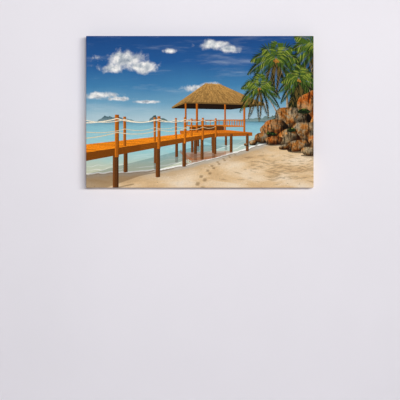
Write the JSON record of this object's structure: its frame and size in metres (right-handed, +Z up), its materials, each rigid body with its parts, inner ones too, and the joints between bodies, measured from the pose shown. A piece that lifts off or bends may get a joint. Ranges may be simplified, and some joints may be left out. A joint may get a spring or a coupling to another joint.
{
  "type": "stretched canvas wall print",
  "caption": "Rectangular printed canvas stretched over a keyed pine frame with a centre brace, hung flat on a wall by two swivelling ring hangers.",
  "frame": {"origin": "on the wall, midway between the two hooks that the rings hang on, 140 mm below the top edge", "axes": "+X along the long side, to the right seen from the front; +Y out of the back, towards the wall; +Z up"},
  "size_m": [0.9144, 0.0429, 0.6096],
  "materials": {
    "canvas": "matt ink on primed cotton and polyester canvas, a tropical bay in sky blue, turquoise, sand and orange wood",
    "pine": "planed, unfinished",
    "key_wood": "sawn, unfinished",
    "zinc_steel": "zinc plated",
    "clear_rubber": "clear, soft, satin"
  },
  "bodies": {
    "stretcher": {"canvas": "canvas", "rail_top": "pine", "rail_bottom": "pine", "stile_left": "pine", "stile_right": "pine", "brace": "pine", "key_rail_top_a": "key_wood", "key_rail_top_b": "key_wood", "key_rail_bottom_a": "key_wood", "key_rail_bottom_b": "key_wood", "key_stile_left_a": "key_wood", "key_stile_left_b": "key_wood", "key_stile_right_a": "key_wood", "key_stile_right_b": "key_wood", "hanger_strap_left": "zinc_steel", "hanger_strap_right": "zinc_steel", "hanger_screw_left_1": "zinc_steel", "hanger_screw_left_2": "zinc_steel", "hanger_screw_right_1": "zinc_steel", "hanger_screw_right_2": "zinc_steel", "bumper_left": "clear_rubber", "bumper_right": "clear_rubber"},
    "ring_left": {"hanger_ring_left": "zinc_steel"},
    "ring_right": {"hanger_ring_right": "zinc_steel"}
  },
  "joints": [
    {"name": "ring_swing_left", "type": "hinge", "parent": "stretcher", "child": "ring_left", "pos_m": [-0.4287, -0.0032, -0.01135], "axis": [-1, 0, 0], "range_deg": [-4, 170]},
    {"name": "ring_swing_right", "type": "hinge", "parent": "stretcher", "child": "ring_right", "pos_m": [0.4287, -0.0032, -0.01135], "axis": [-1, 0, 0], "range_deg": [-4, 170]}
  ]
}
